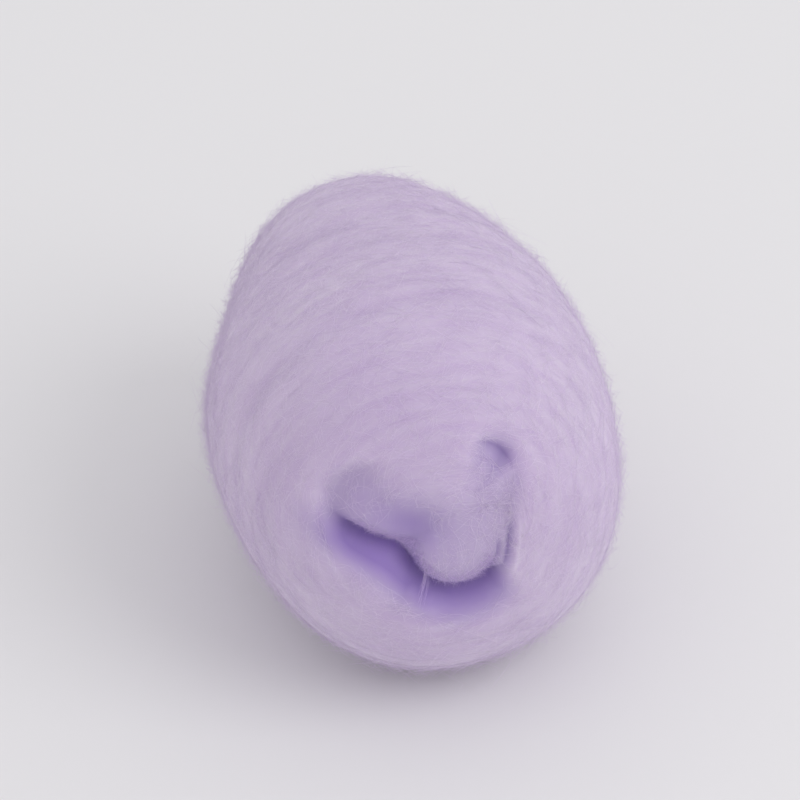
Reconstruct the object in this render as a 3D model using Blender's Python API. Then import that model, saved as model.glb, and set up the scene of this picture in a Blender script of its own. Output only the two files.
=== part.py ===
"""Cotton ball: a strip of carded cotton wound up into one short, soft roll.

The roll lies on its side on a small flattened spot. Its axis runs along Y, and its front end,
at -Y, shows how the strip ends: a tongue of cotton comes over from the top and tucks in under
the outer turns along a three-cornered fold. The back end is closed by a shallow spiral fold.

Metres, +Z up. The origin is under the middle of the roll, on the surface that it lies on.
"""

import math

import bpy
import numpy as np
from mathutils import Matrix

# The roll as a whole, before its ends are folded in and its underside is pressed flat
ROLL_WIDTH = 0.0286  # side to side
ROLL_HEIGHT = 0.0340  # underside to top
ROLL_LENGTH = 0.0421  # back end to front end
BARREL_POWER = 2.4  # 2 is an egg shape, and more is closer to a straight barrel
SECTION_POWER = 2.1  # the same for the section across the axis
SECTION_LEAN_DEG = 14.0  # how far the tall section leans over to the left
BACK_TAPER = 0.18  # how much the section grows to the front and shrinks to the back
LIFT_DEG = 5.0  # how far the axis rises towards the front end
REST_DENT = 0.0007  # how far the underside is pressed in where the roll lies

# Soft lumps all over: waves across the ball, counted in radians from its middle
LUMP_HEIGHT = 0.0004
LUMP_WAVES = 14
LUMP_WAVE_RANGE = (2.0, 6.0)
LUMP_SEED = 5

# Soft valleys between the wound turns, placed by their latitude from the middle of the roll
TURN_COUNT = 7
TURN_DEPTH = 0.00034
TURN_WIDTH_DEG = 2.8
TURN_WANDER_DEG = 5.0
TURN_SPREAD_DEG = 100.0
TURN_SEED = 11

# The front end's fold line, round a middle to the left of and above the axis. It is an oval with
# three soft corners.
FOLD_RIGHT = -0.0015
FOLD_UP = 0.0039
FOLD_RADIUS = 0.0071
FOLD_CORNER = 0.00135  # how far its corners stand out and its sides come in
FOLD_CORNER_DEG = 285.0  # the lowest corner, anticlockwise from the right
FOLD_OVAL = 0.0004  # how much longer it is one way than across
FOLD_OVAL_DEG = 317.0  # that way, low on the right
FOLD_SOFTNESS = 0.3  # how blunt the bottom of a fold is, as a share of its width

# What lies along the fold line. A width is how soon a wall levels out. A span gives where it
# starts, is full, begins to fade and is gone, in degrees anticlockwise from the top.
MOUTH_DEPTH = 0.0036  # the open mouth, low on the left
MOUTH_OUTER_WIDTH = 0.0011
MOUTH_INNER_WIDTH = 0.0009
MOUTH_SPAN = (74.0, 112.0, 152.0, 172.0)
SEAM_DEPTH = 0.0022  # the closed seam at the bottom
SEAM_OUTER_WIDTH = 0.0010
SEAM_INNER_WIDTH = 0.0007
SEAM_SPAN = (158.0, 178.0, 210.0, 228.0)
LINE_DEPTH = 0.0004  # the fine line up the right side
LINE_WIDTH = 0.0005
LINE_SPAN = (204.0, 220.0, 290.0, 320.0)
DIMPLE_DEPTH = 0.0006  # where the line ends, high on the right
DIMPLE_OUTER_WIDTH = 0.0004
DIMPLE_INNER_WIDTH = 0.0013
DIMPLE_SPAN = (278.0, 296.0, 308.0, 328.0)

# The floor inside the fold line: a soft step down below the tongue, a sink to the mouth, and a
# hollow on the tongue's left
RIM_WIDTH = 0.00035  # how soon the floor ends at the fold line
STEP_DEPTH = 0.0006
STEP_UP = 0.0008  # the step's lowest place, above the fold's middle
STEP_BEND = 0.0025  # the radius that it curves up with to either side
STEP_WIDTH = 0.0009
SINK_DEPTH = 0.0020
SINK_DEG = 225.0  # the side of the fold line that it sinks to, anticlockwise from the right
HOLLOW_RIGHT = -0.0038
HOLLOW_UP = 0.0042
HOLLOW_DEPTH = 0.0008
HOLLOW_RADIUS = 0.0024

# The back end: one turn of a spiral fold in a shallow dish
SPIRAL_INNER = 0.0022
SPIRAL_OUTER = 0.0086
SPIRAL_DEPTH = 0.0020
SPIRAL_WIDTH = 0.0014
DISH_DEPTH = 0.0016
DISH_RADIUS = 0.0066

# Each end's own form fades in over these shares of the way from the middle to the end
END_START = 0.35
END_BLEND = 0.06

# The mesh: its rings crowd together at both folds, and those near the front follow the fold
RING_COUNT = 66
SEGMENT_COUNT = 72
FOLD_CROWDING = 3.0
FOLD_CROWDING_REACH = 0.0025
SPIRAL_CROWDING = 0.8
SPIRAL_CROWDING_REACH = 0.006
FOLLOW_ANGLE = 0.9  # radians from the front pole at which the rings are round again

COTTON_COLOUR = (0.62, 0.52, 0.74, 1.0)
COTTON_ROUGHNESS = 0.95


def clear_scene():
    """Remove whatever the file holds."""
    for old in list(bpy.data.objects):
        bpy.data.objects.remove(old, do_unlink=True)


def bump(place, middle, reach):
    """A smooth hill of height 1 round a middle."""
    return np.exp(-(((place - middle) / reach) ** 2))


def step(place, width):
    """Rises smoothly from 0 to 1 as the place goes from below zero to above it."""
    return 1.0 / (1.0 + np.exp(-place / width))


def crease(offset, outer_width, inner_width):
    """Section of a fold: 1 on its line, levelling out by one width outside it and one inside."""
    width = np.where(offset > 0.0, outer_width, inner_width)
    return np.exp(FOLD_SOFTNESS - np.hypot(offset / width, FOLD_SOFTNESS))


def fade(angle_deg, span):
    """Rises smoothly from 0 to 1 over the first part of the span, and falls over the last."""
    start, full, fading, gone = span
    rise = np.clip((angle_deg - start) / (full - start), 0.0, 1.0)
    fall = np.clip((gone - angle_deg) / (gone - fading), 0.0, 1.0)
    both = rise * fall
    return both * both * (3.0 - 2.0 * both)


def fold_line(bearing):
    """Distance of the front fold from its middle, for a bearing anticlockwise from the right."""
    corners = FOLD_CORNER * np.cos(3.0 * (bearing - math.radians(FOLD_CORNER_DEG)))
    return FOLD_RADIUS + corners + FOLD_OVAL * np.cos(2.0 * (bearing - math.radians(FOLD_OVAL_DEG)))


def crowded_angles(share):
    """Angle from the front pole for each share of the way, with more rings near both folds."""
    half = ROLL_LENGTH / 2.0
    angle = np.linspace(0.0, math.pi, 721)
    spiral = math.pi - (SPIRAL_INNER + SPIRAL_OUTER) / 2.0 / half
    density = 1.0 + FOLD_CROWDING * bump(angle, FOLD_RADIUS / half, FOLD_CROWDING_REACH / half)
    density += SPIRAL_CROWDING * bump(angle, spiral, SPIRAL_CROWDING_REACH / half)
    filled = np.concatenate(([0.0], np.cumsum((density[1:] + density[:-1]) / 2.0)))
    return np.interp(share, filled / filled[-1], angle)


def ball_directions(mesh):
    """Directions from the roll's middle, one per point: x right, y up, z along the axis to the front.

    They are a sphere's own points. Those at the front are drawn over to the fold's middle, and
    stretched where the fold line has a corner, so that the fold runs along the rings.
    """
    points = np.empty(len(mesh.vertices) * 3)
    mesh.vertices.foreach_get("co", points)
    points = points.reshape(-1, 3)
    around = np.arctan2(points[:, 1], points[:, 0])
    angle = crowded_angles(np.arccos(np.clip(points[:, 2], -1.0, 1.0)) / math.pi)
    near = np.exp(-((angle / FOLLOW_ANGLE) ** 4))
    angle = angle * (1.0 + near * (fold_line(around) / FOLD_RADIUS - 1.0))
    ways = np.stack(
        (np.sin(angle) * np.cos(around), np.sin(angle) * np.sin(around), np.cos(angle)), axis=1
    )
    ways[:, 0] += near * FOLD_RIGHT / (ROLL_LENGTH / 2.0)
    ways[:, 1] += near * FOLD_UP / (ROLL_LENGTH / 2.0)
    return ways / np.linalg.norm(ways, axis=1, keepdims=True)


def barrel_radius(ways):
    """Distance to a rounded barrel whose section leans over, and grows towards the front."""
    lean = math.radians(SECTION_LEAN_DEG)
    across = ways[:, 0] * math.cos(lean) + ways[:, 1] * math.sin(lean)
    upright = ways[:, 1] * math.cos(lean) - ways[:, 0] * math.sin(lean)
    swell = 1.0 + BACK_TAPER * ways[:, 2]
    across = np.abs(2.0 * across / (ROLL_WIDTH * swell)) ** SECTION_POWER
    upright = np.abs(2.0 * upright / (ROLL_HEIGHT * swell)) ** SECTION_POWER
    along = np.abs(2.0 * ways[:, 2] / ROLL_LENGTH) ** BARREL_POWER
    return ((across + upright) ** (BARREL_POWER / SECTION_POWER) + along) ** (-1.0 / BARREL_POWER)


def lumps(ways):
    """A sum of broad waves across the ball, which swells and dents the soft cotton."""
    rng = np.random.default_rng(LUMP_SEED)
    heading = rng.normal(size=(LUMP_WAVES, 3))
    heading /= np.linalg.norm(heading, axis=1, keepdims=True)
    heading *= rng.uniform(*LUMP_WAVE_RANGE, size=(LUMP_WAVES, 1))
    phase = rng.uniform(0.0, 2.0 * math.pi, size=LUMP_WAVES)
    return LUMP_HEIGHT * np.cos(ways @ heading.T + phase).sum(axis=1) * math.sqrt(2.0 / LUMP_WAVES)


def turn_valleys(ways):
    """Soft valleys that run round the axis, each deepest on one side and gone on the other."""
    rng = np.random.default_rng(TURN_SEED)
    latitude = np.degrees(np.arcsin(np.clip(ways[:, 2], -1.0, 1.0)))
    around = np.arctan2(ways[:, 1], ways[:, 0])
    depth = np.zeros(len(ways))
    for place in np.linspace(-0.5, 0.5, TURN_COUNT) * TURN_SPREAD_DEG:
        start, lean = rng.uniform(0.0, 2.0 * math.pi, size=2)
        middle = place + TURN_WANDER_DEG * np.sin(around + lean)
        one_side = 0.5 + 0.5 * np.cos(around - start)
        depth += TURN_DEPTH * one_side * bump(latitude, middle, TURN_WIDTH_DEG)
    return depth


def front_fold(right, up):
    """How far the front end lies below the plain barrel, at places right of and above the axis."""
    reach = np.hypot(right - FOLD_RIGHT, up - FOLD_UP)
    bearing = np.arctan2(up - FOLD_UP, right - FOLD_RIGHT)
    line = fold_line(bearing)
    offset = reach - line

    from_top = (np.degrees(bearing) - 90.0) % 360.0
    mouth = fade(from_top, MOUTH_SPAN) * crease(offset, MOUTH_OUTER_WIDTH, MOUTH_INNER_WIDTH)
    seam = fade(from_top, SEAM_SPAN) * crease(offset, SEAM_OUTER_WIDTH, SEAM_INNER_WIDTH)
    fine_line = fade(from_top, LINE_SPAN) * crease(offset, LINE_WIDTH, LINE_WIDTH)
    dimple = fade(from_top, DIMPLE_SPAN) * crease(offset, DIMPLE_OUTER_WIDTH, DIMPLE_INNER_WIDTH)
    depth = MOUTH_DEPTH * mouth + SEAM_DEPTH * seam + LINE_DEPTH * fine_line + DIMPLE_DEPTH * dimple

    step_line = FOLD_UP + STEP_UP + (right - FOLD_RIGHT) ** 2 / (2.0 * STEP_BEND)
    low_side = 0.5 + 0.5 * np.cos(bearing - math.radians(SINK_DEG))
    floor = STEP_DEPTH * step(step_line - up, STEP_WIDTH)
    floor += SINK_DEPTH * (low_side * np.clip(reach / line, 0.0, 1.0)) ** 2
    floor += HOLLOW_DEPTH * bump(np.hypot(right - HOLLOW_RIGHT, up - HOLLOW_UP), 0.0, HOLLOW_RADIUS)
    return depth + floor * step(-offset, RIM_WIDTH)


def back_fold(right, up):
    """Depth of one spiral turn and of the dish round it, at places on the back end."""
    reach = np.hypot(right, up)
    turned = (np.arctan2(up, right) / (2.0 * math.pi)) % 1.0
    line = SPIRAL_INNER + (SPIRAL_OUTER - SPIRAL_INNER) * turned
    mid_turn = np.sin(math.pi * turned) ** 2
    spiral = SPIRAL_DEPTH * mid_turn * crease(reach - line, SPIRAL_WIDTH, SPIRAL_WIDTH)
    return spiral + DISH_DEPTH * bump(reach, 0.0, DISH_RADIUS)


def surface(ways):
    """Points of the roll in its own frame: x right, y up, z along the axis to the front."""
    barrel = barrel_radius(ways)
    right = barrel * ways[:, 0]
    up = barrel * ways[:, 1]
    front = step(ways[:, 2] - END_START, END_BLEND)
    back = step(-ways[:, 2] - END_START, END_BLEND)
    radius = barrel + lumps(ways) - turn_valleys(ways)
    radius -= front * front_fold(right, up) + back * back_fold(right, up)
    return ways * radius[:, None]


def lay_down(points):
    """Turn the roll's axis to -Y, raise its front end, press the underside flat and centre it."""
    turn = Matrix.Rotation(math.radians(90.0 - LIFT_DEG), 3, "X")
    placed = points @ np.array(turn).T
    floor = placed[:, 2].min() + REST_DENT
    placed[:, 2] = np.maximum(placed[:, 2], floor) - floor
    middle = (placed.min(axis=0) + placed.max(axis=0)) / 2.0
    placed[:, :2] -= middle[:2]
    return placed


def cotton_material():
    """Dull, soft lavender cotton."""
    material = bpy.data.materials.new("lavender_cotton")
    material.use_nodes = True
    shader = material.node_tree.nodes["Principled BSDF"]
    shader.inputs["Base Color"].default_value = COTTON_COLOUR
    shader.inputs["Roughness"].default_value = COTTON_ROUGHNESS
    shader.inputs["Metallic"].default_value = 0.0
    return material


def make_roll():
    """The whole cotton ball, as one closed skin."""
    bpy.ops.mesh.primitive_uv_sphere_add(segments=SEGMENT_COUNT, ring_count=RING_COUNT, radius=1.0)
    roll = bpy.context.object
    roll.name = "cotton_roll"
    roll.data.name = "cotton_roll"
    points = lay_down(surface(ball_directions(roll.data)))
    roll.data.vertices.foreach_set("co", points.ravel())
    roll.data.update()
    roll.data.shade_smooth()
    roll.data.materials.append(cotton_material())
    return roll


clear_scene()
make_roll()
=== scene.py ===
# %% [markdown]
# # A cotton ball
#
# A cotton ball isn't a ball of fluff. It is a strip of carded cotton, wound up into a short roll
# and pressed, and its end is tucked in on one side. What makes it look real is a soft skin with
# fine streaks that run round the roll, one deep fold where the end goes in, and loose fibres that
# blur its outline.
#
# The plan is a single closed surface, worked out as a distance from the middle for every
# direction, and on it thousands of fibres, which follow the same formula.

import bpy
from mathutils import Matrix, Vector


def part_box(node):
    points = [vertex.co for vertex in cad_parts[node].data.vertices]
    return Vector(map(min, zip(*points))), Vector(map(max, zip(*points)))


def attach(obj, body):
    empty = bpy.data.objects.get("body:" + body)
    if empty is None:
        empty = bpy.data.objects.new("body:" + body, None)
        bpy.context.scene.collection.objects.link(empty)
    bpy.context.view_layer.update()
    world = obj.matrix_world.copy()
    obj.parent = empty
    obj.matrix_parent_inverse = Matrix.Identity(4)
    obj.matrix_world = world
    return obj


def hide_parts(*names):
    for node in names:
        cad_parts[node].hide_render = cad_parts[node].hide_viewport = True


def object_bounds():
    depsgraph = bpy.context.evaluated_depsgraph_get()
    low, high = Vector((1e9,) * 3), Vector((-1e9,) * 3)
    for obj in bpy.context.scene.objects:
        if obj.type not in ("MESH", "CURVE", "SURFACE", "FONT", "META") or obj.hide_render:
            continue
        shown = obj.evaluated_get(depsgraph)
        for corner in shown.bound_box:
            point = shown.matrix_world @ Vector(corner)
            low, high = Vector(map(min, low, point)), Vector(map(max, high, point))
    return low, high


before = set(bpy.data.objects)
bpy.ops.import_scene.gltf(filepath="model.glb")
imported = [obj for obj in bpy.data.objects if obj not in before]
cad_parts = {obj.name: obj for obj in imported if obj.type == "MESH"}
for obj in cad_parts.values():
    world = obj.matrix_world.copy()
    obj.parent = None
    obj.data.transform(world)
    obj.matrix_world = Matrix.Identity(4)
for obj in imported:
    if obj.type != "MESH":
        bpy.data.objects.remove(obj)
cad_box = [list(corner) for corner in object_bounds()]
print("CAD box in mm:", [[round(1000 * value, 2) for value in corner] for corner in cad_box])

# %% The other modules, and two helpers for vectors
import math

import bpy
import numpy as np
from mathutils import Matrix, Vector


def unit(vectors):
    """Each vector divided by its own length."""
    return vectors / np.linalg.norm(vectors, axis=-1, keepdims=True)


def dot(first, second):
    """The sum of the products of two rows' numbers."""
    return (first * second).sum(axis=-1)


# %% [markdown]
# ## The camera first
#
# The photograph looks down on the ball from 43 degrees above the table, and a little from the
# left of the folded end. A long lens from far away keeps the form as flat as it is there. Setting
# the camera first means that every later render can be held against the photograph.

# %% The camera
VIEW_AZIMUTH_DEG = -13.0
VIEW_ELEVATION_DEG = 43.0
VIEW_DISTANCE = 0.8
VIEW_WIDTH = 0.0625  # what the picture takes in at the ball, from side to side
SENSOR_MM = 36.0


def away(azimuth_deg, elevation_deg):
    """The direction to a place at that azimuth, counted from -Y towards +X, and elevation."""
    azimuth = math.radians(azimuth_deg)
    elevation = math.radians(elevation_deg)
    flat = math.cos(elevation)
    return Vector((flat * math.sin(azimuth), -flat * math.cos(azimuth), math.sin(elevation)))


def aim(thing, place, target):
    """Put a camera or lamp at a place, with its -Z axis towards the target."""
    thing.location = place
    thing.rotation_euler = (target - place).to_track_quat("-Z", "Y").to_euler()


low, high = (Vector(corner) for corner in cad_box)
middle = (low + high) / 2.0
camera_data = bpy.data.cameras.new("camera")
camera_data.sensor_width = SENSOR_MM
camera_data.lens = SENSOR_MM * VIEW_DISTANCE / VIEW_WIDTH
camera_data.clip_end = 10.0
camera = bpy.data.objects.new("camera", camera_data)
bpy.context.scene.collection.objects.link(camera)
bpy.context.scene.camera = camera
aim(camera, middle + VIEW_DISTANCE * away(VIEW_AZIMUTH_DEG, VIEW_ELEVATION_DEG), middle)
print("lens in mm:", round(camera_data.lens))

# %% [markdown]
# ## The roll's own frame
#
# It is easiest to think of the roll standing on its back end: x to the right, y up, and z along
# the axis to the front end. A direction from the middle is then enough to say where a point of
# the skin lies, and a formula gives its distance. Such a surface can't cut through itself,
# however deep its folds are.
#
# The streaks need to know where they are on the winding: how far round it, and how far from the
# front pole. The pole is drawn over to the middle of the fold, as the cotton is.

# %% Directions and where they lie on the winding
ROLL_LENGTH = 0.0421
HALF_LENGTH = ROLL_LENGTH / 2.0
FOLD_RIGHT = -0.0015
FOLD_UP = 0.0039
FOLD_RADIUS = 0.0071
FOLD_CORNER = 0.00135
FOLD_CORNER_DEG = 285.0
FOLD_OVAL = 0.0004
FOLD_OVAL_DEG = 317.0
FOLLOW_ANGLE = 0.9


def bump(place, centre, reach):
    """A hill of height 1: e to the power of minus the squared distance from its centre."""
    return np.exp(-(((place - centre) / reach) ** 2))


def step(place, width):
    """A smooth step from 0 to 1 at zero: one over one plus e to the power of minus the place."""
    return 1.0 / (1.0 + np.exp(-place / width))


def near_front(angle):
    """How much a direction follows the fold: e to the power of minus the fourth power of its angle
    from the axis, in parts of the follow angle."""
    return np.exp(-((angle / FOLLOW_ANGLE) ** 4))


def winding(ways):
    """How far round the winding each direction lies, and how far from the front pole, in radians.

    The pole is the axis for most directions, and the line to the fold's middle for those near it.
    """
    near = near_front(np.arccos(np.clip(ways[:, 2], -1.0, 1.0)))
    pole_right = near * FOLD_RIGHT / HALF_LENGTH
    pole_up = near * FOLD_UP / HALF_LENGTH
    pole = unit(np.column_stack((pole_right, pole_up, np.ones(len(near)))))
    right = unit(np.array((1.0, 0.0, 0.0)) - pole * pole[:, :1])
    up = np.cross(pole, right)
    around = np.arctan2(dot(ways, up), dot(ways, right))
    return around, np.arccos(np.clip(dot(ways, pole), -1.0, 1.0)), pole


def fold_line(bearing):
    """Distance of the front fold from its middle: a circle, plus a cosine of three times the
    bearing for its soft corners, and one of twice the bearing for its oval."""
    corners = FOLD_CORNER * np.cos(3.0 * (bearing - math.radians(FOLD_CORNER_DEG)))
    return FOLD_RADIUS + corners + FOLD_OVAL * np.cos(2.0 * (bearing - math.radians(FOLD_OVAL_DEG)))


line_sizes = 1000 * fold_line(np.radians(np.arange(360)))
print("fold line in mm from its middle:", np.round((line_sizes.min(), line_sizes.max()), 1))

# %% [markdown]
# ## Barrel, lumps and turns
#
# The big form is a barrel between a cylinder and an egg, a little wider at the front, and its
# tall section leans over to the left. Three kinds of unevenness lie on it. Broad lumps come from
# the hand or machine that pressed it. Valleys run round it where one turn of the strip lies beside
# the next. Fine ridges run along the valleys, because carding combs the fibres into one direction.
#
# Noise in Blender is usually a texture, but here it also has to move the skin and the fibres on
# it, so it is a sum of a few dozen waves, which numpy works out anywhere.

# %% The barrel and its unevenness
ROLL_WIDTH = 0.0286
ROLL_HEIGHT = 0.0340
BARREL_POWER = 2.4
SECTION_POWER = 2.1
SECTION_LEAN_DEG = 14.0
BACK_TAPER = 0.18
LUMP_HEIGHT = 0.0004
LUMP_WAVES = 14
LUMP_WAVE_RANGE = (2.0, 6.0)
LUMP_SEED = 5
TURN_COUNT = 7
TURN_DEPTH = 0.0002
TURN_WIDTH_DEG = 2.8
TURN_WANDER_DEG = 5.0
TURN_SPREAD_DEG = 100.0
TURN_SEED = 11


def barrel_radius(ways):
    """Distance to the barrel: one over a root of summed powers. Across and upright are each over
    half their size and make the section, and the length joins them with a power of its own."""
    lean = math.radians(SECTION_LEAN_DEG)
    across = ways[:, 0] * math.cos(lean) + ways[:, 1] * math.sin(lean)
    upright = ways[:, 1] * math.cos(lean) - ways[:, 0] * math.sin(lean)
    swell = 1.0 + BACK_TAPER * ways[:, 2]
    across = np.abs(2.0 * across / (ROLL_WIDTH * swell)) ** SECTION_POWER
    upright = np.abs(2.0 * upright / (ROLL_HEIGHT * swell)) ** SECTION_POWER
    along = np.abs(2.0 * ways[:, 2] / ROLL_LENGTH) ** BARREL_POWER
    return ((across + upright) ** (BARREL_POWER / SECTION_POWER) + along) ** (-1.0 / BARREL_POWER)


def add_waves(places, headings, phases):
    """Cosines of the places along each heading, summed, so that they vary by about 1."""
    return np.cos(places @ headings.T + phases).sum(axis=1) * math.sqrt(2.0 / len(phases))


def lumps(ways):
    """Broad waves across the ball, in every direction alike."""
    rng = np.random.default_rng(LUMP_SEED)
    headings = unit(rng.normal(size=(LUMP_WAVES, 3)))
    headings *= rng.uniform(*LUMP_WAVE_RANGE, size=(LUMP_WAVES, 1))
    phases = rng.uniform(0.0, 2.0 * math.pi, size=LUMP_WAVES)
    return LUMP_HEIGHT * add_waves(ways, headings, phases)


def turn_valleys(ways):
    """Valleys round the axis: bumps of latitude, each deepest on one side and gone on the other."""
    rng = np.random.default_rng(TURN_SEED)
    latitude = np.degrees(np.arcsin(np.clip(ways[:, 2], -1.0, 1.0)))
    around = np.arctan2(ways[:, 1], ways[:, 0])
    depth = np.zeros(len(ways))
    for place in np.linspace(-0.5, 0.5, TURN_COUNT) * TURN_SPREAD_DEG:
        start, lean = rng.uniform(0.0, 2.0 * math.pi, size=2)
        centre = place + TURN_WANDER_DEG * np.sin(around + lean)
        one_side = 0.5 + 0.5 * np.cos(around - start)
        depth += TURN_DEPTH * one_side * bump(latitude, centre, TURN_WIDTH_DEG)
    return depth


axis_ways = np.vstack((np.eye(3), -np.eye(3)))
barrel_sizes = barrel_radius(axis_ways)[:3] + barrel_radius(axis_ways)[3:]
print("barrel in mm, along its own x, y and z:", np.round(1000 * barrel_sizes, 1))


# %% Fine ridges along the fibres
RIDGE_HEIGHT = 0.000015
RIDGE_WAVES = 40
RIDGE_SLOW = 2.5  # most waves round the roll, in radians for each radian
RIDGE_FAST = (14.0, 60.0)  # the same from the front pole to the back
RIDGE_WARP = 0.05
RIDGE_SEED = 23
TONGUE_FAST = (1000.0, 3500.0)  # inside the fold: across the tongue, in radians for each metre
TONGUE_SLOW = 500.0


def streaks(slow, fast, slow_most, fast_range, seed):
    """Ridges with soft crests and sharper grooves: one minus the size of waves that are long in
    one direction and short in the other."""
    rng = np.random.default_rng(seed)
    places = np.column_stack((slow, fast))
    slow_part = rng.uniform(-slow_most, slow_most, size=(RIDGE_WAVES, slow.shape[1]))
    fast_part = rng.uniform(*fast_range, size=(RIDGE_WAVES, 1))
    phases = rng.uniform(0.0, 2.0 * math.pi, size=RIDGE_WAVES)
    return 1.0 - np.abs(add_waves(places, np.hstack((slow_part, fast_part)), phases))


def ridges(ways, right, up, inside):
    """Streaks round the winding, and down the tongue inside the fold line."""
    around, angle, _ = winding(ways)
    angle = angle + RIDGE_WARP * lumps(ways) / LUMP_HEIGHT
    ring = np.column_stack((np.cos(around), np.sin(around)))
    wound = streaks(ring, angle, RIDGE_SLOW, RIDGE_FAST, RIDGE_SEED)
    tucked = streaks(up[:, None], right, TONGUE_SLOW, TONGUE_FAST, RIDGE_SEED)
    return RIDGE_HEIGHT * (wound + inside * (tucked - wound))


# %% [markdown]
# ## The fold at the front end
#
# The eye goes straight to this fold. The tongue comes over from the top without an edge. Low on
# the left it dives into an open mouth behind a thick, rounded rim. Along the bottom the rim
# closes on it, and on the right two thin lines with a bright strand between them climb to a
# small dimple.
#
# All of it is a depth below the barrel, as a function of the place on the end. The distance from
# the fold line gives the section, and the bearing gives what lies there. A span says where a form
# starts, is full, begins to fade and is gone, in degrees anticlockwise from the top. The same
# forms say how much shade is painted into the cotton's colour there, as a darker violet.

# %% Where a place lies beside the fold line
FOLD_SOFTNESS = 0.25


def crease(offset, outer_width, inner_width):
    """Section of a fold: 1 on its line, and falling by a power of e for each width beside it."""
    width = np.where(offset > 0.0, outer_width, inner_width)
    return np.exp(FOLD_SOFTNESS - np.hypot(offset / width, FOLD_SOFTNESS))


def fade(angle_deg, span):
    """1 in the middle of a span and 0 outside it. Between them a straight slope is smoothed: three
    times its square minus twice its cube."""
    start, full, fading, gone = span
    rise = np.clip((angle_deg - start) / (full - start), 0.0, 1.0)
    fall = np.clip((gone - angle_deg) / (gone - fading), 0.0, 1.0)
    both = rise * fall
    return both * both * (3.0 - 2.0 * both)


def fold_place(right, up):
    """Distance outside the fold line, bearing from the fold's middle, and degrees from the top."""
    reach = np.hypot(right - FOLD_RIGHT, up - FOLD_UP)
    bearing = np.arctan2(up - FOLD_UP, right - FOLD_RIGHT)
    return reach - fold_line(bearing), bearing, (np.degrees(bearing) - 90.0) % 360.0


widths_away = np.arange(4.0)
print("section of a crease, at 0 to 3 widths:", np.round(crease(widths_away, 1.0, 1.0), 2))

# %% The creases: mouth, seam, lines and dimple
MOUTH_DEPTH = 0.0025
MOUTH_OUTER_WIDTH = 0.0015
MOUTH_INNER_WIDTH = 0.0009
MOUTH_SPAN = (74.0, 112.0, 156.0, 176.0)
SEAM_DEPTH = 0.0017
SEAM_OUTER_WIDTH = 0.0010
SEAM_INNER_WIDTH = 0.0006
SEAM_SPAN = (160.0, 174.0, 210.0, 226.0)
LINE_DEPTH = 0.00035
LINE_WIDTH = 0.00028
LINE_SPAN = (212.0, 230.0, 250.0, 268.0)
STRAND_WIDTH = 0.0009  # between that line and a fainter one inside it
STRAND_SPAN = (202.0, 214.0, 232.0, 250.0)
STRAND_SHARE = 0.6  # how deep the fainter line is beside the other
LIP_HEIGHT = 0.00015
LIP_WIDTH = 0.0003
DIMPLE_DEPTH = 0.0006
DIMPLE_OUTER_WIDTH = 0.0004
DIMPLE_INNER_WIDTH = 0.0016
DIMPLE_INSET = 0.0006  # how far it lies inside the fold line
DIMPLE_SPAN = (296.0, 310.0, 322.0, 338.0)
SHADE_OUTSIDE = 0.0018  # how far outside the fold line its painted shade goes
SHADE_INSIDE = 0.0008
SHADE_SOFTNESS = 0.0005
SEAM_SHADE = 0.8  # how much of the mouth's painted shade the other forms have
LINE_SHADE = 0.45
DIMPLE_SHADE = 0.5


def front_creases(offset, from_top):
    """Depth of the creases, and the shade painted on them. The depth adds up their sections, each
    faded in and out over its span, less the lip that stands up beside the line. The painted shade is
    a band along the open part, plus shares of the line and the dimple."""
    mouth = fade(from_top, MOUTH_SPAN) * crease(offset, MOUTH_OUTER_WIDTH, MOUTH_INNER_WIDTH)
    seam = fade(from_top, SEAM_SPAN) * crease(offset, SEAM_OUTER_WIDTH, SEAM_INNER_WIDTH)
    thin = fade(from_top, LINE_SPAN)
    thread = thin * crease(offset, LINE_WIDTH, LINE_WIDTH)
    second = crease(offset + STRAND_WIDTH, LINE_WIDTH, LINE_WIDTH)
    thread += STRAND_SHARE * fade(from_top, STRAND_SPAN) * second
    dimple = fade(from_top, DIMPLE_SPAN)
    dimple *= crease(offset + DIMPLE_INSET, DIMPLE_OUTER_WIDTH, DIMPLE_INNER_WIDTH)
    depth = MOUTH_DEPTH * mouth + SEAM_DEPTH * seam + LINE_DEPTH * thread + DIMPLE_DEPTH * dimple
    depth -= LIP_HEIGHT * thin * bump(offset, 2.0 * LIP_WIDTH, LIP_WIDTH)

    # the shade painted along the open mouth and seam, and in the lines and the dimple
    open_part = fade(from_top, MOUTH_SPAN) + SEAM_SHADE * fade(from_top, SEAM_SPAN)
    open_part = np.clip(open_part, 0.0, 1.0)
    band = step(SHADE_OUTSIDE - offset, SHADE_SOFTNESS) * step(offset + SHADE_INSIDE, SHADE_SOFTNESS)
    return depth, open_part * band + LINE_SHADE * thread + DIMPLE_SHADE * dimple


on_line = np.zeros(360)
line_depth = front_creases(on_line, np.arange(360.0))[0]
print("deepest crease on the fold line in mm:", round(1000 * line_depth.max(), 2), "at",
      int(line_depth.argmax()), "degrees from the top")

# %% The floor inside the fold line
RIM_WIDTH = 0.00035
STEP_DEPTH = 0.0006
STEP_UP = 0.0008
STEP_SLOPE = 0.1  # it climbs to the right
STEP_BEND = 0.0026
STEP_WIDTH = 0.0009
SINK_DEPTH = 0.0020
SINK_DEG = 225.0
HOLLOW_RIGHT = -0.0035
HOLLOW_UP = 0.0040
HOLLOW_DEPTH = 0.0011
HOLLOW_RADIUS = 0.0028
# the shade painted in the hollow, and on the tongue below its step
HOLLOW_SHADE = 0.4
TONGUE_SHADE = 0.19


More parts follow.
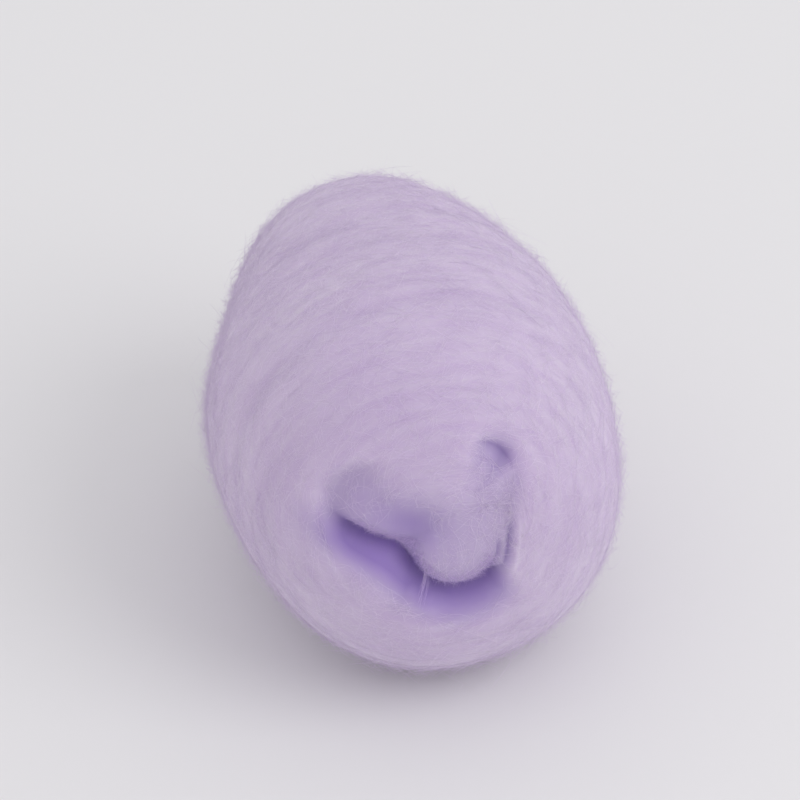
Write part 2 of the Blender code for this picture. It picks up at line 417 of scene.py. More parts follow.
def front_floor(right, up, offset, bearing):
    """Depth of the tongue, how far a place is below its step, and how far in the hollow. The
    tongue steps down along a parabola, sinks towards the mouth by a square, and has a round
    hollow."""
    sideways = right - FOLD_RIGHT
    step_line = FOLD_UP + STEP_UP + STEP_SLOPE * sideways + sideways**2 / (2.0 * STEP_BEND)
    low_side = 0.5 + 0.5 * np.cos(bearing - math.radians(SINK_DEG))
    below_step = step(step_line - up, STEP_WIDTH)
    floor = STEP_DEPTH * below_step
    floor += SINK_DEPTH * (low_side * np.clip(1.0 + offset / fold_line(bearing), 0.0, 1.0)) ** 2
    hollow = bump(np.hypot(right - HOLLOW_RIGHT, up - HOLLOW_UP), 0.0, HOLLOW_RADIUS)
    floor += HOLLOW_DEPTH * hollow
    return floor, below_step, hollow


def front_fold(right, up):
    """How far the end lies below the barrel, and how much shade is painted on it: what the creases
    give, plus what the floor gives inside the fold line."""
    offset, bearing, from_top = fold_place(right, up)
    depth, fold_shade = front_creases(offset, from_top)
    floor, below_step, hollow = front_floor(right, up, offset, bearing)
    within = step(-offset, RIM_WIDTH)
    # painted shade: the creases', plus the hollow's, plus the tongue's below its step
    fold_shade = fold_shade + HOLLOW_SHADE * hollow
    fold_shade += TONGUE_SHADE * below_step * within
    return depth + floor * within, np.clip(fold_shade, 0.0, 1.0)


END_SAMPLES = 201  # from side to side of the end
across_end = np.linspace(-ROLL_WIDTH / 2.0, ROLL_WIDTH / 2.0, END_SAMPLES)
end_depth = front_fold(*(axis.ravel() for axis in np.meshgrid(across_end, across_end)))[0]
print("deepest place of the front fold in mm:", round(1000 * end_depth.max(), 2))


# %% [markdown]
# ## The fold at the back end
#
# The photograph doesn't show the back. The inner end of the strip comes out there, so it gets
# what such a roll has: one turn of a spiral in a shallow dish.

# %% The back fold
SPIRAL_INNER = 0.0022
SPIRAL_OUTER = 0.0086
SPIRAL_DEPTH = 0.0020
SPIRAL_WIDTH = 0.0011
DISH_DEPTH = 0.0016
DISH_RADIUS = 0.0066
# how much shade is painted in the spiral groove
SPIRAL_SHADE = 0.6


def back_fold(right, up):
    """Depth of a groove whose distance from the middle grows with its bearing, in a round dish, and
    the shade painted along the groove.
    """
    reach = np.hypot(right, up)
    turned = (np.arctan2(up, right) / (2.0 * math.pi)) % 1.0
    line = SPIRAL_INNER + (SPIRAL_OUTER - SPIRAL_INNER) * turned
    mid_turn = np.sin(math.pi * turned) ** 2
    groove = mid_turn * crease(reach - line, SPIRAL_WIDTH, SPIRAL_WIDTH)
    return SPIRAL_DEPTH * groove + DISH_DEPTH * bump(reach, 0.0, DISH_RADIUS), SPIRAL_SHADE * groove


end_depth = back_fold(*(axis.ravel() for axis in np.meshgrid(across_end, across_end)))[0]
print("deepest place of the back fold in mm:", round(1000 * end_depth.max(), 2))


# %% [markdown]
# ## The whole skin
#
# Now the parts add up to one distance for each direction. The same function will place the
# fibres, so they follow every fold without any search for the nearest point. Two small steps to
# the side give the normal.

# %% The skin as a function of direction
END_START = 0.35
END_BLEND = 0.06
DEEP = 0.003
FLOOR_SHADE = 0.5  # how much painted shade a floor has at that depth
SLIT_SHADE = 0.85  # and how much more there is in a slit
MOST_SHADE = 1.7
TONGUE_BLEND = 0.002  # of the top of the tongue into the wound part
NORMAL_STEP = 0.004
NEARLY_SIDEWAYS = 0.8  # past this share of x, the first step starts from y


def skin(ways):
    """Points of the skin in the roll's frame, how shaded each is, and whether it is tucked in.

    The distance is the barrel's, plus lumps and ridges, minus the valleys and the folds.
    """
    barrel = barrel_radius(ways)
    right = barrel * ways[:, 0]
    up = barrel * ways[:, 1]
    front = step(ways[:, 2] - END_START, END_BLEND)
    back = step(-ways[:, 2] - END_START, END_BLEND)
    offset, _, _ = fold_place(right, up)
    inside = front * step(-offset, RIM_WIDTH) * step(FOLD_UP + STEP_UP - up, TONGUE_BLEND)
    front_depth, front_shade = front_fold(right, up)
    back_depth, back_shade = back_fold(right, up)
    depth = front * front_depth + back * back_depth + turn_valleys(ways)
    radius = barrel + lumps(ways) + ridges(ways, right, up, inside) - depth
    # the shade painted into the colour: more where the skin lies deep, and more in the slits
    shade = FLOOR_SHADE * depth / DEEP + SLIT_SHADE * (front * front_shade + back * back_shade)
    return ways * radius[:, None], np.clip(shade, 0.0, MOST_SHADE), inside


def normals(ways):
    """Unit normals: the cross product of two small steps along the skin."""
    hint = np.where(np.abs(ways[:, :1]) < NEARLY_SIDEWAYS, (1.0, 0.0, 0.0), (0.0, 1.0, 0.0))
    first = unit(np.cross(hint, ways))
    second = np.cross(ways, first)
    here = skin(ways)[0]
    one = skin(unit(ways + NORMAL_STEP * first))[0] - here
    other = skin(unit(ways + NORMAL_STEP * second))[0] - here
    return unit(np.cross(one, other))


reach = np.linalg.norm(skin(axis_ways)[0], axis=1)
print("skin in mm, along the same axes:", np.round(1000 * (reach[:3] + reach[3:]), 1))


# %% [markdown]
# ## A grid of directions
#
# A globe's grid wastes points at its poles and has too few where the fold is. Here the rings
# crowd together at both folds, and those near the front follow the fold line, so a groove never
# runs across the grid in steps.

# %% The grid
RING_COUNT = 250
COLUMN_COUNT = 250
FOLD_CROWDING = 3.0
FOLD_CROWDING_REACH = 0.0025
SPIRAL_CROWDING = 0.8
SPIRAL_CROWDING_REACH = 0.006
DENSITY_SAMPLES = 721


def crowded_angles(share):
    """Angle from the front pole for each share of the way: the inverse of a density of rings,
    which is 1 plus a hill at each fold."""
    angle = np.linspace(0.0, math.pi, DENSITY_SAMPLES)
    fold = FOLD_RADIUS / HALF_LENGTH
    spiral = math.pi - (SPIRAL_INNER + SPIRAL_OUTER) / 2.0 / HALF_LENGTH
    density = 1.0 + FOLD_CROWDING * bump(angle, fold, FOLD_CROWDING_REACH / HALF_LENGTH)
    density += SPIRAL_CROWDING * bump(angle, spiral, SPIRAL_CROWDING_REACH / HALF_LENGTH)
    filled = np.concatenate(([0.0], np.cumsum((density[1:] + density[:-1]) / 2.0)))
    return np.interp(share, filled / filled[-1], angle)


def grid_ways():
    """Directions of the front pole, of the rings from front to back, and of the back pole."""
    share = np.arange(1, RING_COUNT) / RING_COUNT
    turn = 2.0 * math.pi * np.arange(COLUMN_COUNT) / COLUMN_COUNT
    angle, around = (axis.ravel() for axis in np.meshgrid(crowded_angles(share), turn, indexing="ij"))
    angle = np.concatenate(([0.0], angle, [math.pi]))
    around = np.concatenate(([0.0], around, [0.0]))
    near = near_front(angle)
    angle = angle * (1.0 + near * (fold_line(around) / FOLD_RADIUS - 1.0))
    ways = np.stack(
        (np.sin(angle) * np.cos(around), np.sin(angle) * np.sin(around), np.cos(angle)), axis=1
    )
    ways[:, 0] += near * FOLD_RIGHT / HALF_LENGTH
    ways[:, 1] += near * FOLD_UP / HALF_LENGTH
    return unit(ways)


ways = grid_ways()
points, shade, inside = skin(ways)
print("skin points:", len(points), "deepest shade:", round(float(shade.max()), 2))

# %% [markdown]
# ## Laying the roll down
#
# The roll lies on its side with its front end a little raised, and cotton flattens where it
# lies. So the points are turned, what would sink into the table is pressed flat, and the result
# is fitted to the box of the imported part. The same steps serve for the fibres later.

# %% From the roll's frame to the table
LIFT_DEG = 5.0
REST_DENT = 0.0007
turn_over = np.array(Matrix.Rotation(math.radians(90.0 - LIFT_DEG), 3, "X")).T
node_low, node_high = (np.array(corner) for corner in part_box("cotton_roll"))
turned = points @ turn_over
turned_low = turned.min(axis=0) + np.array((0.0, 0.0, REST_DENT))
turned_high = turned.max(axis=0)
fit = (node_high - node_low) / (turned_high - turned_low)
print("fitted to the packed part by:", np.round(fit, 4))


def lay_down(places, clearance=0.0):
    """Turn points on to the roll's side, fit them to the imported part, and press them flat."""
    laid = node_low + (places @ turn_over - turned_low) * fit
    laid[:, 2] = np.maximum(laid[:, 2], node_low[2] + clearance)
    return laid


# %% [markdown]
# ## The skin's mesh
#
# The grid becomes quads between rings and a fan of triangles at each pole, so the skin is closed.
# foreach_set fills the mesh from whole arrays, which is far quicker than adding faces one by one.
#
# The material needs three things that only this code knows: where a point lies on the winding,
# how much shade to paint there, worked out from how deep it lies, and whether it is on the
# tucked-in tongue. They go into the mesh as attributes.
# The winding is stored as a cosine, a sine and an angle, so that it has no jump where the columns
# meet. A plain map of columns by rings is kept as UVs.

# %% Meshes from arrays
def make_mesh(name, places, quads, triangles):
    """A smooth mesh object at the origin, from arrays of points and of corners."""
    mesh = bpy.data.meshes.new(name)
    mesh.vertices.add(len(places))
    mesh.vertices.foreach_set("co", np.asarray(places, dtype=np.float32).ravel())
    corners = np.concatenate((quads.ravel(), triangles.ravel()))
    sizes = np.concatenate((np.full(len(quads), 4), np.full(len(triangles), 3)))
    mesh.loops.add(len(corners))
    mesh.loops.foreach_set("vertex_index", corners.astype(np.int32))
    mesh.polygons.add(len(sizes))
    mesh.polygons.foreach_set("loop_start", (np.cumsum(sizes) - sizes).astype(np.int32))
    mesh.update(calc_edges=True)
    mesh.shade_smooth()
    piece = bpy.data.objects.new(name, mesh)
    bpy.context.scene.collection.objects.link(piece)
    return piece


def grid_faces():
    """Corners of the quads between rings, and of the two fans, with the columns' numbers."""
    column = np.arange(COLUMN_COUNT)
    following = (column + 1) % COLUMN_COUNT
    ring = 1 + COLUMN_COUNT * np.arange(RING_COUNT - 1)[:, None]
    here, beside = ring + column, ring + following
    quads = np.stack((here[:-1], here[1:], beside[1:], beside[:-1]), axis=-1).reshape(-1, 4)
    last = 1 + COLUMN_COUNT * (RING_COUNT - 1)
    front = np.stack((np.zeros_like(column), here[0], beside[0]), axis=-1)
    back = np.stack((np.full_like(column, last), beside[-1], here[-1]), axis=-1)
    return quads, np.concatenate((front, back))


def map_grid(mesh):
    """UVs: the column's share of the way round, and the ring's share of the way to the back."""
    column = np.arange(COLUMN_COUNT) / COLUMN_COUNT
    wide = 1.0 / COLUMN_COUNT
    ring = np.arange(1, RING_COUNT)[:, None] / RING_COUNT
    left = np.broadcast_to(column, (RING_COUNT - 1, COLUMN_COUNT))
    row = np.broadcast_to(ring, left.shape)
    across = np.stack((left[:-1], left[1:], left[1:] + wide, left[:-1] + wide), axis=-1)
    down = np.stack((row[:-1], row[1:], row[1:], row[:-1]), axis=-1)
    quad_part = np.stack((across.ravel(), down.ravel()), axis=-1)
    front = np.stack((column + wide / 2.0, column, column + wide), axis=-1)
    front_down = np.broadcast_to((0.0, ring[0, 0], ring[0, 0]), front.shape)
    back = np.stack((column + wide / 2.0, column + wide, column), axis=-1)
    back_down = np.broadcast_to((1.0, ring[-1, 0], ring[-1, 0]), back.shape)
    fans = np.concatenate((front, back)), np.concatenate((front_down, back_down))
    fan_part = np.stack((fans[0].ravel(), fans[1].ravel()), axis=-1)
    layer = mesh.uv_layers.new(name="OFBake")
    layer.data.foreach_set("uv", np.concatenate((quad_part, fan_part)).astype(np.float32).ravel())


def store(mesh, name, kind, values):
    """Keep a number or a vector for each point as a named attribute."""
    layer = mesh.attributes.new(name, kind, "POINT")
    field = "value" if kind == "FLOAT" else "vector"
    layer.data.foreach_set(field, np.asarray(values, dtype=np.float32).ravel())


# %% The skin of the roll
roll = make_mesh("cotton_skin", lay_down(points), *grid_faces())
map_grid(roll.data)
around, angle, _ = winding(ways)
store(roll.data, "winding", "FLOAT_VECTOR", np.column_stack((np.cos(around), np.sin(around), angle)))
# the shade painted into the skin's colour
store(roll.data, "painted_shade", "FLOAT", shade)
store(roll.data, "tongue", "FLOAT", inside)
print("triangles of the skin:", sum(len(face.vertices) - 2 for face in roll.data.polygons))

# %% [markdown]
# ## What cotton does with light
#
# Light goes a few millimetres into cotton and comes out beside where it went in, so nothing on it
# has a hard shade. Deep in a fold the light meets the dyed fibres many times over, and the
# lavender turns to violet, the richest where least light gets out. A thin haze of fibre ends
# catches light at the rim.
#
# So the shader is dull, with subsurface scattering for the depth, sheen for the haze, and faint
# streaks of lighter and darker fibre that follow the winding. Where the skin is deep, a darker
# violet is painted in as shade, and in the deepest places a lighter violet is painted in as the
# light that bounces there.

# %% Small helpers for nodes
class Nodes:
    """A material's node tree, with one short call for each kind of node that is needed."""

    def __init__(self, name):
        self.material = bpy.data.materials.new(name)
        self.material.use_nodes = True
        self.tree = self.material.node_tree
        self.shader = self.tree.nodes["Principled BSDF"]

    def link(self, value, socket):
        """Join an output to an input, or write a plain number or colour into it."""
        if isinstance(value, bpy.types.NodeSocket):
            self.tree.links.new(value, socket)
        else:
            socket.default_value = value

    def attribute(self, name, output):
        """A named attribute of the mesh."""
        node = self.tree.nodes.new("ShaderNodeAttribute")
        node.attribute_name = name
        return node.outputs[output]

    def math(self, operation, first, second):
        """Two numbers added with ADD, or multiplied with MULTIPLY."""
        node = self.tree.nodes.new("ShaderNodeMath")
        node.operation = operation
        self.link(first, node.inputs[0])
        self.link(second, node.inputs[1])
        return node.outputs[0]

    def vector_math(self, operation, first, second):
        """The same for two vectors, axis by axis."""
        node = self.tree.nodes.new("ShaderNodeVectorMath")
        node.operation = operation
        self.link(first, node.inputs[0])
        self.link(second, node.inputs[1])
        return node.outputs[0]

    def upright(self, value):
        """A vector whose last axis is the value."""
        node = self.tree.nodes.new("ShaderNodeCombineXYZ")
        self.link(value, node.inputs[2])
        return node.outputs[0]

    def noise(self, vector, scale, detail):
        """Soft noise from 0 to 1, scale times as fine as the vector, with finer layers on it."""
        node = self.tree.nodes.new("ShaderNodeTexNoise")
        self.link(vector, node.inputs["Vector"])
        node.inputs["Scale"].default_value = scale
        node.inputs["Detail"].default_value = detail
        return node.outputs["Fac"]

    def object_place(self):
        """The place on the piece, in metres."""
        return self.tree.nodes.new("ShaderNodeTexCoord").outputs["Object"]

    def mixed(self, factor, first, second):
        """A mix of two colours."""
        node = self.tree.nodes.new("ShaderNodeMix")
        node.data_type = "RGBA"
        self.link(factor, node.inputs[0])
        self.link(first, node.inputs[6])
        self.link(second, node.inputs[7])
        return node.outputs[2]

    def between(self, value, low_end, high_end):
        """0 below the low end, 1 above the high end, and a straight line between."""
        node = self.tree.nodes.new("ShaderNodeMapRange")
        self.link(value, node.inputs[0])
        node.inputs[1].default_value = low_end
        node.inputs[2].default_value = high_end
        return node.outputs[0]

    def bumped(self, height, strength, distance):
        """A normal that follows a height."""
        node = self.tree.nodes.new("ShaderNodeBump")
        self.link(height, node.inputs["Height"])
        node.inputs["Strength"].default_value = strength
        node.inputs["Distance"].default_value = distance
        return node.outputs["Normal"]


# %% The skin's material
COTTON_LIGHT = (0.645, 0.56, 0.71, 1.0)
COTTON_DARK = (0.57, 0.455, 0.66, 1.0)
# painted shade for the folds, and a lighter violet as painted bounce light in their deepest places
FOLD_SHADE_COLOUR = (0.30, 0.21, 0.50, 1.0)
CORE_BOUNCE_COLOUR = (0.45, 0.32, 0.70, 1.0)
CORE_START = 0.95  # the painted shade is full here, and the painted bounce light starts
CORE_FULL = 1.7
STREAK_STRETCH = (1.3, 1.3, 24.0)  # slow round the winding, fast along it
FIBRE_STRETCH = (6.0, 6.0, 180.0)
TONGUE_STRETCH = (2600.0, 500.0, 330.0)  # fast across the tongue, slow down it, for each metre
STREAK_WANDER = 0.07
WANDER_SCALE = 130.0  # for each metre, as the next two
BLOTCH_SCALE = 90.0
FLUFF_SCALE = 1500.0
BLOTCH_SHARE = 0.5  # of the tone: the streaks have the rest
TONE_RANGE = (0.3, 0.7)  # from all dark to all light
FLUFF_SHARE = 0.3
BUMP_STRENGTH = 0.18
BUMP_DISTANCE = 0.00006
SCATTER_WEIGHT = 0.85
SCATTER_DISTANCE = 0.0025
SCATTER_COLOUR = (1.0, 0.85, 1.15)  # the share of that distance that each colour goes
SHEEN_WEIGHT = 0.15
SHEEN_ROUGHNESS = 0.6
SHEEN_TINT = (0.86, 0.82, 0.93, 1.0)


def cotton_skin_material():
    """Streaks of two tones, painted shade in the folds with painted bounce light deepest in them, and
    fine combed bumps.
    """
    nodes = Nodes("lavender_cotton_skin")
    place = nodes.object_place()
    wound = nodes.attribute("winding", "Vector")
    tongue = nodes.attribute("tongue", "Fac")
    wander = nodes.math("MULTIPLY", nodes.noise(place, WANDER_SCALE, detail=1.0), STREAK_WANDER)
    wound = nodes.vector_math("ADD", wound, nodes.upright(wander))
    down = nodes.vector_math("MULTIPLY", place, TONGUE_STRETCH)

    along = nodes.vector_math("MULTIPLY", wound, STREAK_STRETCH)
    tone_round = nodes.noise(along, scale=1.0, detail=2.0)
    tone = nodes.mixed(tongue, tone_round, nodes.noise(down, scale=0.5, detail=2.0))
    tone = nodes.math("MULTIPLY", tone, 1.0 - BLOTCH_SHARE)
    blotch = nodes.math("MULTIPLY", nodes.noise(place, BLOTCH_SCALE, detail=3.0), BLOTCH_SHARE)
    light = nodes.between(nodes.math("ADD", tone, blotch), *TONE_RANGE)
    painted_shade = nodes.attribute("painted_shade", "Fac")
    colour = nodes.mixed(light, COTTON_DARK, COTTON_LIGHT)
    # painted shade, then painted bounce light, by the shade worked out for each point
    colour = nodes.mixed(nodes.between(painted_shade, 0.0, CORE_START), colour, FOLD_SHADE_COLOUR)
    colour = nodes.mixed(nodes.between(painted_shade, CORE_START, CORE_FULL), colour, CORE_BOUNCE_COLOUR)
    nodes.link(colour, nodes.shader.inputs["Base Color"])

    along = nodes.vector_math("MULTIPLY", wound, FIBRE_STRETCH)
    fine_round = nodes.noise(along, scale=1.0, detail=3.0)
    fine = nodes.mixed(tongue, fine_round, nodes.noise(down, scale=3.0, detail=3.0))
    fluff = nodes.math("MULTIPLY", nodes.noise(place, FLUFF_SCALE, detail=3.0), FLUFF_SHARE)
    combed = nodes.bumped(nodes.math("ADD", fine, fluff), BUMP_STRENGTH, BUMP_DISTANCE)
    nodes.link(combed, nodes.shader.inputs["Normal"])

    nodes.shader.inputs["Roughness"].default_value = 0.95
    nodes.shader.inputs["Specular IOR Level"].default_value = 0.15
    nodes.shader.inputs["Subsurface Weight"].default_value = SCATTER_WEIGHT
    nodes.shader.inputs["Subsurface Radius"].default_value = SCATTER_COLOUR
    nodes.shader.inputs["Subsurface Scale"].default_value = SCATTER_DISTANCE
    nodes.shader.inputs["Sheen Weight"].default_value = SHEEN_WEIGHT
    nodes.shader.inputs["Sheen Roughness"].default_value = SHEEN_ROUGHNESS
    nodes.shader.inputs["Sheen Tint"].default_value = SHEEN_TINT
    return nodes.material


roll.data.materials.append(cotton_skin_material())
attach(roll, "root")
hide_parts("cotton_roll")
print("nodes of the skin's material:", len(roll.data.materials[0].node_tree.nodes))

# %% [markdown]
# ## Fibres
#
# A bump can't blur an outline, and hair particles don't survive an export, so the fibres are
# real, very thin tubes: three-sided, pointed at both ends, a few dozen triangles each.
#
# Each fibre starts somewhere on the skin and walks along the grain in short steps, a little off
# its direction and slowly curling. The grain runs round the winding, and down the tongue inside
# the fold. The kinds of fibre differ in their length and in how far they rise: long ones lie
# flat, most are short and stand off a little with one end, and a few long ones stray.

# %% Walks along the grain
def grain(ways):
    """Unit directions of the combed fibres: the pole crossed with the direction, which runs round
    the winding, mixed with the way down on the tucked-in tongue."""
    _, _, pole = winding(ways)
    around = unit(np.cross(pole, ways))
    _, _, inside = skin(ways)
    down = np.array((0.0, -1.0, 0.0)) + ways * ways[:, 1:2]
    return unit(around * (1.0 - inside[:, None]) + unit(down) * inside[:, None])


def walk(ways, lean, curl, stride, steps):
    """Directions along each fibre: again and again, a stride along the grain, turned by the lean
    and by a curl that adds up."""
    trail = [ways]
    for number in range(steps - 1):
        forward = grain(ways)
        sideways = np.cross(ways, forward)
        turn = (lean + curl * number)[:, None]
        heading = forward * np.cos(turn) + sideways * np.sin(turn)
        ways = unit(ways + heading * stride[:, None] / (ROLL_HEIGHT / 2.0))
        trail.append(ways)
    return np.stack(trail, axis=1)


def tubes(paths, radius, hint):
    """Points and faces of three-sided tubes: each path's points plus a radius across the path,
    turned by thirds of a circle, with the first and last points as tips."""
    count, steps, _ = paths.shape
    along = unit(np.gradient(paths, axis=1))
    side = unit(np.cross(along, hint[:, None, :]))
    up = np.cross(along, side)
    turn = 2.0 * math.pi * np.arange(3) / 3.0
    taper = np.sin(math.pi * np.linspace(0.0, 1.0, steps)) ** 0.5
    across = side[:, :, None] * np.cos(turn)[:, None] + up[:, :, None] * np.sin(turn)[:, None]
    rings = paths[:, :, None] + across * (radius[:, None] * taper)[:, :, None, None]
    inner = rings[:, 1:-1].reshape(count, -1, 3)
    places = np.concatenate((paths[:, :1], inner, paths[:, -1:]), axis=1)

    first = (np.arange(count) * places.shape[1])[:, None, None]
    corner = np.arange(3)
    beside = (corner + 1) % 3
    ring = first + 1 + 3 * np.arange(steps - 2)[:, None]
    here, there = ring + corner, ring + beside
    quads = np.stack((here[:, :-1], there[:, :-1], there[:, 1:], here[:, 1:]), axis=-1)
    start = np.broadcast_to(first[:, 0], (count, 3))
    end = start + places.shape[1] - 1
    starts = np.stack((start, there[:, 0], here[:, 0]), axis=-1)
    ends = np.stack((end, here[:, -1], there[:, -1]), axis=-1)
    triangles = np.concatenate((starts.reshape(-1, 3), ends.reshape(-1, 3)))
    return places.reshape(-1, 3), quads.reshape(-1, 4), triangles


# %% A piece of fibres
FINE_RADIUS = 0.000008
THICKNESS_RANGE = (0.7, 1.2)  # of the radius


def fibre_material(name, colour):
    """One plain, dull tone: a single fibre is too thin to show more."""
    nodes = Nodes(name)
    nodes.shader.inputs["Base Color"].default_value = colour
    nodes.shader.inputs["Roughness"].default_value = 0.8
    nodes.shader.inputs["Specular IOR Level"].default_value = 0.2
    nodes.shader.inputs["Sheen Weight"].default_value = 0.2
    nodes.shader.inputs["Sheen Roughness"].default_value = SHEEN_ROUGHNESS
    return nodes.material


def add_fibres(name, paths, radius, rng, material):
    """One piece of thin tubes along paths in the roll's frame, laid down with the skin."""
    count, steps, _ = paths.shape
    laid = lay_down(paths.reshape(-1, 3), 2.0 * radius).reshape(count, steps, 3)
    thick = radius * rng.uniform(*THICKNESS_RANGE, size=count)
    shape = tubes(laid, thick, unit(rng.normal(size=(count, 3))))
    piece = make_mesh(name, *shape)
    piece.data.materials.append(material)
    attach(piece, "root")
    print(name, "fibres:", count, "triangles:", 2 * len(shape[1]) + len(shape[2]))


# %% Fibres on the skin
OPEN_SHADE = 0.6  # fibres lie only where the skin's painted shade is below this
RISE_POWER = 1.6
WILD_SHARE = 0.35  # of the tip's rise: how far a tip strays to any side
RISE_RANGE = (0.25, 1.0)  # the share of the full rise that a fibre has


def make_fibres(name, count, length, rise, wander_deg, radius, steps, seed, material):
    """Fibres from random places on the skin. The rise is that of the tip, which grows as a power of
    the way along, and that of the middle, a half sine. The wander is the lean and the curl."""
    rng = np.random.default_rng(seed)
    tries = unit(rng.normal(size=(2 * count, 3)))
    roots = tries[skin(tries)[1] < OPEN_SHADE][:count]
    lengths = rng.uniform(*length, size=count)
    lean_deg, curl_deg = wander_deg
    lean = np.radians(rng.normal(0.0, lean_deg, size=count))
    lean += math.pi * rng.integers(0, 2, count)
    curl = np.radians(rng.normal(0.0, curl_deg, size=count))
    trail = walk(roots, lean, curl, lengths / (steps - 1), steps).reshape(-1, 3)
    tip_rise, middle_rise = rise
    share = np.linspace(0.0, 1.0, steps)
    strength = rng.uniform(*RISE_RANGE, size=(count, 1))
    arch = tip_rise * share**RISE_POWER + middle_rise * np.sin(math.pi * share)
    lift = strength * arch - 2.0 * radius
    wild = rng.normal(0.0, 1.0, size=(count, 1, 3)) * (WILD_SHARE * tip_rise * share[:, None] ** 2)
    places, shade, _ = skin(trail)
    places += normals(trail) * lift.reshape(-1, 1) * np.clip(1.0 - shade[:, None], 0.0, 1.0)
    open_air = shade.reshape(count, steps).max(axis=1) < OPEN_SHADE
    add_fibres(name, (places.reshape(count, steps, 3) + wild)[open_air], radius, rng, material)


# %% Three kinds of them
# lighter than the skin: partly the pale look of single fibres, partly painted light that makes up for
# the shaded side of each opaque tube
LYING_COLOUR = (0.76, 0.66, 0.85, 1.0)
FUZZ_COLOUR = (0.80, 0.70, 0.88, 1.0)
FUZZ_PIECES = 4
FUZZ_WANDER_DEG = (40.0, 12.0)
LONG = (0.003, 0.007)
SHORT = (0.001, 0.0024)

lying = fibre_material("lavender_fibre", LYING_COLOUR)
loose = fibre_material("pale_fibre", FUZZ_COLOUR)
make_fibres(
    "lying_fibres", count=2700, length=LONG, rise=(0.0, 0.0002), wander_deg=(20.0, 5.0),
    radius=0.000010, steps=8, seed=101, material=lying,
)
for number in range(FUZZ_PIECES):
    make_fibres(
        f"fuzz_{number + 1}", count=7200, length=SHORT, rise=(0.0008, 0.0001),
        wander_deg=FUZZ_WANDER_DEG, radius=FINE_RADIUS, steps=6, seed=103 + number, material=loose,
    )
make_fibres(
    "stray_fibres", count=450, length=LONG, rise=(0.0016, 0.0003), wander_deg=FUZZ_WANDER_DEG,
    radius=0.000009, steps=12, seed=110, material=loose,
)

# %% [markdown]
# ## Fibres at the fold
#
# The tongue's edge is as soft as the outline. Where it turns down into the fold, its fibres don't
# turn with it, but carry straight on and blur the edge. So each starts a little before the edge
# and keeps the slope that the skin has there.
#
# At one place a thin wisp crosses from the tongue to the rim. Its fibres hang in the air too, each
# on a nearly straight line from one side to the other.

# %% Places beside the fold line
HEIGHT_ROUNDS = 12


def ways_at(right, up):
    """Directions to places on the front end. The height of the barrel there is found by adding,
    again and again, what the barrel's distance has more than the place's."""
    height = np.full(len(right), HALF_LENGTH)
    for _ in range(HEIGHT_ROUNDS):
        places = np.column_stack((right, up, height))
        height = height + barrel_radius(unit(places)) - np.linalg.norm(places, axis=1)
    return unit(np.column_stack((right, up, height)))


def beside_fold(bearing, offset):
    """Points of the skin at distances outside the fold line."""
    reach = fold_line(bearing) + offset
    return skin(ways_at(FOLD_RIGHT + reach * np.cos(bearing), FOLD_UP + reach * np.sin(bearing)))[0]


# %% Fibres that carry on over the tongue's edge
EDGE_COUNT = 1000
EDGE_STEPS = 6
EDGE_SPAN = (90.0, 224.0)  # in degrees from the top
EDGE_START = (0.0009, 0.0028)  # inside the fold line
EDGE_LENGTH = (0.0003, 0.0013)
EDGE_SWERVE = 0.8  # radians
EDGE_RISE = 0.00025
EDGE_BEND = 0.00015
# darker and more violet than the other fibres: painted shade and bounced violet light for fibres in
# the fold
EDGE_SHADED_COLOUR = (0.68, 0.525, 0.85, 1.0)
SHORT_STEP = 0.0002  # how far ahead the slope is read
EDGE_SEED = 130


def make_edge_fibres():
    """Straight lines along the slope at their roots, plus a rise and a bend that grow as the
    square of the way along."""
    rng = np.random.default_rng(EDGE_SEED)
    bearing = np.radians(rng.uniform(*EDGE_SPAN, size=EDGE_COUNT) + 90.0)
    inset = rng.uniform(*EDGE_START, size=EDGE_COUNT)
    swerve = rng.normal(0.0, EDGE_SWERVE, size=EDGE_COUNT)
    start = beside_fold(bearing, -inset)
    turned = bearing + SHORT_STEP * np.sin(swerve) / FOLD_RADIUS
    forward = unit(beside_fold(turned, SHORT_STEP * np.cos(swerve) - inset) - start)
    length = rng.uniform(*EDGE_LENGTH, size=(EDGE_COUNT, 1, 1))
    share = np.linspace(0.0, 1.0, EDGE_STEPS)[:, None]
    bend = rng.normal(0.0, EDGE_BEND, size=(EDGE_COUNT, 1, 3))
    bend[:, 0, 2] += EDGE_RISE
    paths = start[:, None] + forward[:, None] * length * share + bend * share**2
    add_fibres("edge_fibres", paths, FINE_RADIUS, rng, fold_shaded_fibre)


# a darker violet, as painted shade, for the fibres that hang in the fold
fold_shaded_fibre = fibre_material("fold_shaded_violet_fibre", EDGE_SHADED_COLOUR)
make_edge_fibres()

# %% The wisp
WISP_COUNT = 18
WISP_STEPS = 9
WISP_DEG = 168.0
WISP_WIDTH_DEG = 1.3
WISP_START = (0.0014, 0.0030)  # inside the fold line
WISP_END = (0.0004, 0.0018)  # outside it
WISP_ARCH = 0.0003
WISP_BEND = 0.00012
WISP_SEED = 120


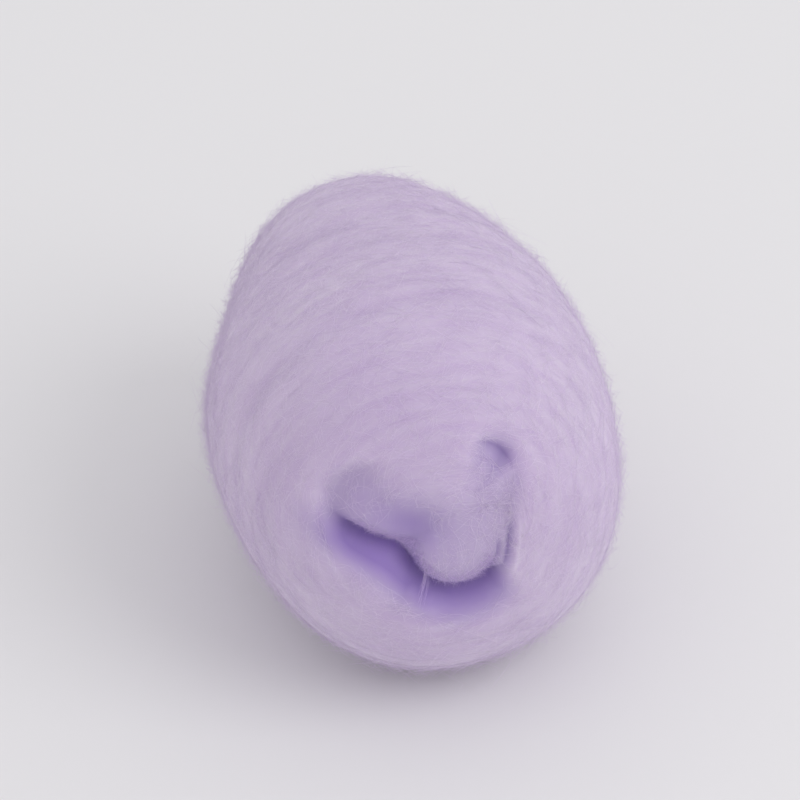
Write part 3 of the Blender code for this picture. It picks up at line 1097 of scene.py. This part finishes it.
def make_wisp():
    """Straight lines from the tongue to the rim, with an arch and two small random bends."""
    rng = np.random.default_rng(WISP_SEED)
    bearing = np.radians(rng.normal(WISP_DEG, WISP_WIDTH_DEG, size=WISP_COUNT) + 90.0)
    start = beside_fold(bearing, -rng.uniform(*WISP_START, size=WISP_COUNT))
    end = beside_fold(bearing, rng.uniform(*WISP_END, size=WISP_COUNT))
    share = np.linspace(0.0, 1.0, WISP_STEPS)[:, None]
    paths = start[:, None] + (end - start)[:, None] * share
    paths[:, :, 2] += WISP_ARCH * np.sin(math.pi * share[:, 0])
    bends = rng.normal(0.0, WISP_BEND, size=(WISP_COUNT, 1, 3))
    paths += bends * np.sin(math.pi * share) + 0.5 * bends[::-1] * np.sin(2.0 * math.pi * share)
    add_fibres("wisp", paths, FINE_RADIUS, rng, fold_shaded_fibre)


make_wisp()

# %% [markdown]
# ## Table and light
#
# The surroundings are as plain as they can be: a pale table, a big soft lamp from the upper
# right, where the light comes from in the photograph, and an even pale world that fills the
# shadows. The table has a colour and the object's shadow on it, and no more light than it needs.

# %% The table
TABLE_SIZE = 6.0
TABLE_COLOUR = (0.80, 0.79, 0.81, 1.0)
side = TABLE_SIZE / 2.0 * np.array(((-1.0, -1.0), (1.0, -1.0), (1.0, 1.0), (-1.0, 1.0)))
table_points = np.column_stack((side, np.full(4, low.z)))
table = make_mesh("table", table_points, np.arange(4)[None], np.empty((0, 3), dtype=int))
surface = Nodes("pale_table")
surface.shader.inputs["Base Color"].default_value = TABLE_COLOUR
surface.shader.inputs["Roughness"].default_value = 0.9
surface.shader.inputs["Specular IOR Level"].default_value = 0.1
table.data.materials.append(surface.material)
print("the table's height in mm:", round(1000 * low.z, 2))

# %% The lamp and the world
LAMP_AZIMUTH_DEG = 50.0
LAMP_ELEVATION_DEG = 45.0
LAMP_DISTANCE = 0.5
LAMP_SIZE = 0.35
LAMP_WATTS = 0.60
WORLD_STRENGTH = 0.82

lamp_data = bpy.data.lights.new("soft_lamp", "AREA")
lamp_data.shape = "DISK"
lamp_data.size = LAMP_SIZE
lamp_data.energy = LAMP_WATTS
lamp = bpy.data.objects.new("soft_lamp", lamp_data)
bpy.context.scene.collection.objects.link(lamp)
aim(lamp, middle + LAMP_DISTANCE * away(LAMP_AZIMUTH_DEG, LAMP_ELEVATION_DEG), middle)

world = bpy.data.worlds.new("pale_world")
world.use_nodes = True
world.node_tree.nodes["Background"].inputs["Color"].default_value = (1.0, 1.0, 1.0, 1.0)
world.node_tree.nodes["Background"].inputs["Strength"].default_value = WORLD_STRENGTH
bpy.context.scene.world = world
bpy.context.scene.view_settings.view_transform = "Standard"
print("the lamp's place in m:", np.round(lamp.location, 3))
